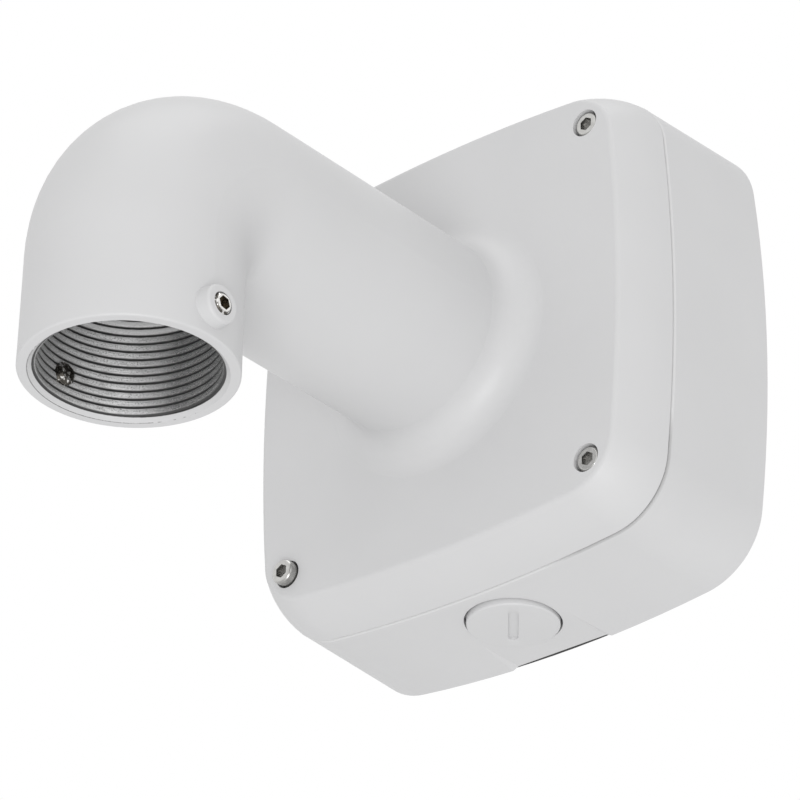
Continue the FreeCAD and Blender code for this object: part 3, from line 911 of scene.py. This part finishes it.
@dataclass
class SetScrew:
    """Socket set screw that locks the camera's pipe, with its point towards the bore."""

    side: Side
    chamfer: float = 0.8 * MM
    chamfer_rows: int = 12
    point_chamfer: float = 0.7 * MM
    key: float = 3.3 * MM
    key_depth: float = 3.0 * MM
    key_cone: float = 0.7 * MM
    key_turn: float = 0.35
    steps: int = 96
    thread: ScrewThread = SET_THREAD

    def build(self, length: float, radius: float) -> BMesh:
        """Turn the threaded rod and cut the key's socket.

        Args:
            length: Length over all.
            radius: Radius over the thread.

        Returns:
            Mesh with the outer end at the origin and the point towards -Z.
        """
        shoulder = self.point_chamfer - length
        rows = [(radius, z) for z in reversed(self.thread.rows(shoulder, -self.chamfer))]
        slopes = [step / self.chamfer_rows for step in range(self.chamfer_rows, 0, -1)]
        profile = [
            (0, 0),
            *((radius - self.chamfer * slope, -self.chamfer * (1 - slope)) for slope in slopes),
            *rows,
            (radius - self.point_chamfer, -length),
            (0, -length),
        ]
        mesh = turned(profile, self.steps)
        self.thread.cut(mesh, radius, shoulder, self.thread.pitch)
        mesh = cut_away(mesh, key_socket(self.key, self.key_depth, self.key_cone, self.key_turn))
        map_turning(mesh)
        return mesh

    def make(self, steel: Material) -> Object:
        """Put the screw in its boss."""
        low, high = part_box(self.side.node)
        outer = high.x if self.side is Side.RIGHT else low.x
        end = Vector((outer, (low.y + high.y) / 2, (low.z + high.z) / 2))
        mesh = self.build(high.x - low.x, (high.z - low.z) / 2)
        mesh.transform(pointing(end, Vector((self.side.value, 0, 0))))
        return finished(mesh, self.side.node + "_turned", steel, replaces=self.side.node)


@dataclass
class ScrewPoint:
    """Inner end of the left set screw, which is turned in until it shows inside the bore.

    Its reach is the distance from the socket's axis to the point.
    """

    reach: float = 21.4 * MM
    radius: float = 3.0 * MM
    chamfer: float = 0.75 * MM
    lip_round: float = 0.1 * MM
    cup_radius: float = 1.5 * MM
    cup_depth: float = 0.8 * MM
    steps: int = 96
    thread: ScrewThread = SET_THREAD

    def make(self, steel: Material) -> Object:
        """Turn the point and join it to the screw's inner end."""
        low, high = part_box(Side.LEFT.node)
        length = -high.x - self.reach
        shoulder = length - self.chamfer
        lip = self.radius - self.chamfer
        rows = [(self.radius, z) for z in self.thread.rows(0.0, shoulder)]
        profile = [
            (0, 0),
            (self.radius - self.thread.depth, 0),
            *rows,
            (lip, length - self.lip_round),
            (lip - self.lip_round, length),
            (self.cup_radius, length),
            (0, length - self.cup_depth),
        ]
        mesh = turned(profile, self.steps)
        self.thread.cut(mesh, self.radius, 0.0, shoulder)
        map_turning(mesh)
        start = Vector((high.x, (low.y + high.y) / 2, (low.z + high.z) / 2))
        mesh.transform(pointing(start, Vector((1, 0, 0))))
        return finished(mesh, "set_screw_left_point", steel)


@dataclass(frozen=True)
class Bore:
    """Place and size of the pipe socket's bore, at the thread's major diameter."""

    x: float
    y: float
    radius: float
    length: float
    rim_z: float
    chamfer: float = 1.1 * MM

    @property
    def lip_radius(self) -> float:
        """Radius of the chamfer's outer edge, at the rim."""
        return self.radius + self.chamfer

    @property
    def foot_z(self) -> float:
        """Height of the chamfer's inner edge, where the thread starts."""
        return self.rim_z + self.chamfer

    @property
    def top_z(self) -> float:
        """Height of the bore's upper end."""
        return self.foot_z + self.length


@dataclass
class SocketThread:
    """Pipe thread inside the socket, a thin sleeve whose inner wall winds between crest and root."""

    bore: Bore
    pitch: float = 2.309 * MM
    groove_depth: float = 0.83 * MM
    groove_width: float = 0.95 * MM
    groove_floor: float = 0.12 * MM
    land_round: float = 0.09 * MM
    run_in: float = 0.22 * MM
    smooth_from: float = 24.3 * MM
    wall: float = 0.03 * MM
    screw_hole: float = 3.05 * MM
    screw_hole_sides: int = 48
    screw_hole_depth: float = 3 * MM
    screw_z: float = -51.7 * MM
    steps: int = 256
    rows_per_turn: int = 20

    @property
    def crest_radius(self) -> float:
        """Radius of the lands between the grooves."""
        return self.bore.radius - self.wall - self.groove_depth

    @property
    def smooth_z(self) -> float:
        """Height from which the lands are painted paler, partly as paler metal, partly as painted light."""
        return self.bore.rim_z + self.smooth_from

    def inner_radius(self, place: Vector) -> float:
        """Radius of the threaded wall at a place."""
        turn = math.atan2(place.y, place.x) / (2 * math.pi)
        phase = (place.z / self.pitch + turn) % 1.0
        off_groove = min(phase, 1 - phase) * self.pitch - self.groove_floor / 2
        slope = (self.groove_width - self.groove_floor) / 2
        cut = 1 - min(1.0, max(0.0, off_groove / slope))
        off_middle = abs(2 * phase - 1) / (1 - self.groove_width / self.pitch)
        arch = self.land_round / self.groove_depth * min(1.0, off_middle) ** 2
        entry = 1 - min(1.0, max(0.0, (place.z - self.bore.foot_z - self.run_in) / self.run_in))
        return self.crest_radius + self.groove_depth * max(cut, arch, entry)

    def sleeve(self) -> BMesh:
        """Turn the sleeve about the Z axis and press the thread into its inner wall."""
        foot = self.bore.foot_z
        top = self.bore.top_z - self.wall
        count = math.ceil((top - foot) / self.pitch * self.rows_per_turn)
        crest = self.crest_radius
        heights = [foot + (top - foot) * step / count for step in range(count + 1)]
        outside = self.bore.radius - self.wall / 3
        profile = [*((crest, z) for z in heights), (outside, top), (outside, foot)]
        mesh = turned(profile, self.steps, closed=True)
        for vert in mesh.verts:
            if math.hypot(vert.co.x, vert.co.y) < crest + WELD:
                vert.co.xy *= self.inner_radius(vert.co) / crest
        return mesh

    def holes(self) -> list[BMesh]:
        """Bodies that cut the set screws' holes."""
        holes = []
        for side in Side:
            inner = self.bore.radius - self.screw_hole_depth
            hole = prism(self.screw_hole_sides, self.screw_hole, inner, self.bore.radius + MM)
            hole.transform(pointing(Vector((0, 0, self.screw_z)), Vector((side.value, 0, 0))))
            holes.append(hole)
        return holes

    def write_map(self, mesh: BMesh) -> None:
        """Write the way round the bore and the way up its wall, in millimetres, into the piece's own map."""
        layer = mesh.loops.layers.uv.new(TURNING)
        for face in mesh.faces:
            middle = face.calc_center_median()
            start = math.atan2(middle.y, middle.x)
            for loop in face.loops:
                place = loop.vert.co
                angle = math.atan2(place.y, place.x)
                angle -= 2 * math.pi * round((angle - start) / (2 * math.pi))
                loop[layer].uv = (angle * self.bore.radius / MM, (place.z - place.xy.length) / MM)

    def make(self, metal: Material) -> Object:
        """Put the thread in the socket."""
        mesh = cut_away(self.sleeve(), self.holes())
        self.write_map(mesh)
        mesh.transform(Matrix.Translation((self.bore.x, self.bore.y, 0)))
        return finished(mesh, "socket_thread", metal, SHARP)


@dataclass
class ConduitPlug:
    """Slotted blanking plug in the bottom of the box."""

    node: str = "conduit_plug"
    head_height: float = 3.0 * MM
    head_swell: float = 0.3 * MM
    head_round: float = 0.55 * MM
    round_steps: int = 8
    shank_radius: float = 10.0 * MM
    bore_radius: float = 7.5 * MM
    slot_width: float = 2.8 * MM
    slot_length: float = 16.4 * MM
    slot_depth: float = 0.8 * MM
    slot_turn: float = math.radians(39.5)
    slot_sides: int = 32
    edge_round: float = 0.18 * MM
    steps: int = 128

    def make(self, coat: Material) -> Object:
        """Turn the plug face up, cut its slot and turn it over into the box."""
        low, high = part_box(self.node)
        radius = (high.x - low.x) / 2 + self.head_swell
        length = high.z - low.z
        shoulder = -self.head_height
        profile = [
            (0, 0),
            *rounded_step(radius, 0, self.head_round, self.round_steps),
            (radius, shoulder),
            (self.shank_radius, shoulder),
            (self.shank_radius, -length),
            (self.bore_radius, -length),
            (self.bore_radius, shoulder),
            (0, shoulder),
        ]
        mesh = cut_away(turned(profile, self.steps), [self.slot()])
        ease(mesh, self.edge_round, self.on_slot_rim)
        face = Vector(((low.x + high.x) / 2, (low.y + high.y) / 2, low.z))
        mesh.transform(Matrix.Translation(face) @ Matrix.Rotation(math.pi, 4, "X"))
        return finished(mesh, self.node + "_turned", coat, replaces=self.node)

    def on_slot_rim(self, place: Vector) -> bool:
        """Tell if a place lies on the slot's rim."""
        return place.z > -self.edge_round and place.xy.length < self.slot_length / 2 + self.slot_width

    def slot(self) -> BMesh:
        """Straight slot with round ends, as a body to cut away."""
        mesh = bmesh.new()
        half = (self.slot_length - self.slot_width) / 2
        bmesh.ops.create_circle(mesh, cap_ends=True, segments=self.slot_sides, radius=self.slot_width / 2)
        for vert in mesh.verts:
            vert.co.y += math.copysign(half, vert.co.y + WELD)
            vert.co.z = -self.slot_depth
        raised = bmesh.ops.extrude_face_region(mesh, geom=mesh.faces[:])
        moved = [item for item in raised["geom"] if isinstance(item, BMVert)]
        bmesh.ops.translate(mesh, vec=(0, 0, self.slot_depth + MM), verts=moved)
        mesh.transform(Matrix.Rotation(-self.slot_turn, 4, "Z"))
        bmesh.ops.recalc_face_normals(mesh, faces=mesh.faces)
        return mesh


@dataclass
class Castings:
    """The arm casting and the box casting, both coated."""

    arm: str = "bracket_arm"
    box: str = "back_box"
    bare_margin: float = 0.05 * MM

    def make(self, nodes: dict[str, Object], bore: Bore) -> None:
        """Give the two castings their finishes.

        Args:
            nodes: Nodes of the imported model.
            bore: Place and size of the pipe socket.
        """
        arm_finish = CoatedCasting(
            coat=PowderCoat("white_coat_arm"),
            bare=RawCasting(),
            axis=Vector((bore.x, bore.y, 0)),
            bare_radius=bore.radius + self.bare_margin,
            bare_top=bore.top_z,
            rim_z=bore.rim_z,
            lip_radius=bore.lip_radius,
        )
        dress(nodes[self.arm], arm_finish.material())
        box_finish = SeamShadedCoat(PowderCoat("white_coat_box"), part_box(self.box)[0].y)
        dress(nodes[self.box], box_finish.material())


@dataclass
class Gaskets:
    """Rubber rings: under the box, in the seam, under the screws' heads and under the plug."""

    names: tuple[str, ...] = ("cover_gasket", "conduit_plug_seal")
    wall: str = "wall_gasket"
    squeeze: float = 0.35 * MM

    def make(self, nodes: dict[str, Object]) -> None:
        """Give every rubber ring its finish, and squeeze the wall gasket out towards the box's edge."""
        rubber = BLACK_RUBBER.material()
        swell = 1 + self.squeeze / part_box(self.wall)[1].x
        mesh = bmesh.new()
        mesh.from_mesh(nodes[self.wall].data)
        mesh.transform(Matrix.Diagonal((swell, 1, swell, 1)) @ nodes[self.wall].matrix_world)
        bmesh.ops.remove_doubles(mesh, verts=mesh.verts, dist=WELD)
        finished(mesh, self.wall + "_squeezed", rubber, replaces=self.wall)
        rings = list(self.names) + ["cover_screw_seal_" + corner.value for corner in Corner]
        for name in rings:
            dress(nodes[name], rubber)


@dataclass
class EarthPoint:
    """Screw and washer on the earth post inside the box."""

    names: tuple[str, ...] = ("earth_screw", "earth_washer")

    def make(self, nodes: dict[str, Object]) -> None:
        """Give the screw and the washer their finish."""
        steel = EARTH_STEEL.material()
        for name in self.names:
            dress(nodes[name], steel)


@dataclass(frozen=True)
class Lamp:
    """Large soft lamp of the studio."""

    name: str
    place: Vector
    size: float
    brightness: float

    def make(self, target: Vector) -> None:
        """Hang the lamp and aim it at a target."""
        data = bpy.data.lights.new(self.name, "AREA")
        data.shape = "SQUARE"
        data.size = self.size
        data.energy = math.pi * self.size ** 2 * self.brightness
        lamp = bpy.data.objects.new(self.name, data)
        lamp.location = self.place
        lamp.rotation_euler = (target - self.place).to_track_quat("-Z", "Y").to_euler()
        lamp.visible_camera = False
        bpy.context.scene.collection.objects.link(lamp)


@dataclass
class Studio:
    """Pale floor, white surroundings, soft lamps and the camera."""

    floor_z: float = -1.75
    floor_size: float = 14.0
    floor_colour: Colour = (0.94, 0.94, 0.94)
    floor_mottle: float = 3.0
    floor_paler: float = 1.02
    floor_roughness: float = 0.9
    sky: float = 0.73
    camera_place: Vector = Vector((0.64713, -0.80595, -0.58819))
    camera_aim: Vector = Vector((0.02775, -0.1015, -0.04636))
    camera_roll: float = math.radians(1.2213)
    lens: float = 192.42
    sensor: float = 36.0
    lamps: tuple[Lamp, ...] = (
        Lamp("top_lamp", Vector((0.22, -0.29, 1.88)), 1.5, 1.1),
        Lamp("front_lamp", Vector((0.98, -1.24, -1.18)), 0.9, 5.2),
    )

    def make_world(self) -> None:
        """Even white surroundings, full white where the camera, metal or glass looks at them."""
        graph = Graph("studio", "worlds", "Background")
        path = graph.node("ShaderNodeLightPath", 0).node.outputs
        seen = path["Is Camera Ray"]
        for ray in ("Is Glossy Ray", "Is Transmission Ray"):
            seen = graph.reckon("MAXIMUM", seen, path[ray])
        graph.feed(graph.shader.inputs["Strength"], graph.mix("FLOAT", seen, self.sky, 1.0))
        graph.feed(graph.shader.inputs["Color"], rgba(WHITE))
        bpy.context.scene.world = graph.owner

    def make_floor(self) -> None:
        """Pale floor far below the bracket, which hangs on a wall."""
        mesh = bmesh.new()
        bmesh.ops.create_grid(mesh, x_segments=1, y_segments=1, size=self.floor_size / 2)
        bmesh.ops.translate(mesh, vec=(0, 0, self.floor_z), verts=mesh.verts)
        floor = in_mesh(mesh, "floor")
        graph = Graph("floor")
        mottle = graph.noise(graph.place(), self.floor_mottle, 2.0)
        paler = tuple(min(1.0, part * self.floor_paler) for part in self.floor_colour)
        tint = graph.blend(mottle, rgba(self.floor_colour), rgba(paler))
        graph.feed(graph.shader.inputs["Base Color"], tint)
        graph.feed(graph.shader.inputs["Roughness"], self.floor_roughness)
        floor.data.materials.append(graph.owner)

    def make_camera(self) -> None:
        """Camera at the photograph's viewing angle."""
        data = bpy.data.cameras.new("camera")
        data.sensor_width = self.sensor
        data.lens = self.lens
        ahead = (self.camera_aim - self.camera_place).normalized()
        level = ahead.cross(Z_AXIS).normalized()
        upright = level.cross(ahead)
        right = level * math.cos(self.camera_roll) + upright * math.sin(self.camera_roll)
        up = upright * math.cos(self.camera_roll) - level * math.sin(self.camera_roll)
        camera = bpy.data.objects.new("camera", data)
        turn = Matrix((right, up, -ahead)).transposed().to_4x4()
        camera.matrix_world = Matrix.Translation(self.camera_place) @ turn
        bpy.context.scene.collection.objects.link(camera)
        bpy.context.scene.camera = camera

    def make(self) -> None:
        """Set the studio up."""
        self.make_world()
        self.make_floor()
        self.make_camera()
        for lamp in self.lamps:
            lamp.make(self.camera_aim)
        bpy.context.scene.view_settings.view_transform = "Standard"


def lowest_near(node: Object, place: Vector, reach: float) -> float:
    """Height of a node's lowest point within reach of an upright line through a place."""
    points = (node.matrix_world @ vert.co for vert in node.data.vertices)
    return min(point.z for point in points if (point.xy - place.xy).length < reach)


def main() -> None:
    """Build the studio, dress the castings and make the finer pieces."""
    logging.basicConfig(level=logging.INFO, format="%(name)s: %(message)s")
    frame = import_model()
    nodes = frame["nodes"]
    mounts = {mount["name"]: mount for mount in frame["record"]["mounts"]}
    socket = mounts["camera_socket"]
    bore = Bore(
        x=socket["pos_m"][0],
        y=socket["pos_m"][1],
        radius=socket["dims"]["r_mm"] * MM,
        length=socket["dims"]["length_mm"] * MM,
        rim_z=lowest_near(nodes["bracket_arm"], Vector(socket["pos_m"]), RIM_SEARCH),
    )

    Studio().make()
    Castings().make(nodes, bore)
    Gaskets().make(nodes)
    EarthPoint().make(nodes)

    steel = TurnedSteel("turned_steel").material()
    for corner in Corner:
        CapScrew(corner).make(steel)
    worn = WornSteel("worn_steel").material()
    for side in Side:
        SetScrew(side).make(worn)
    ScrewPoint().make(worn)
    thread = SocketThread(bore)
    metal = CutThread(
        name="cut_thread",
        axis=Vector((bore.x, bore.y, 0)),
        crest_radius=thread.crest_radius,
        root_radius=bore.radius,
        pitch=thread.pitch,
        smooth_z=thread.smooth_z,
    )
    thread.make(metal.material())
    ConduitPlug().make(PowderCoat("plug_coat").material())


if __name__ == "__main__":
    main()
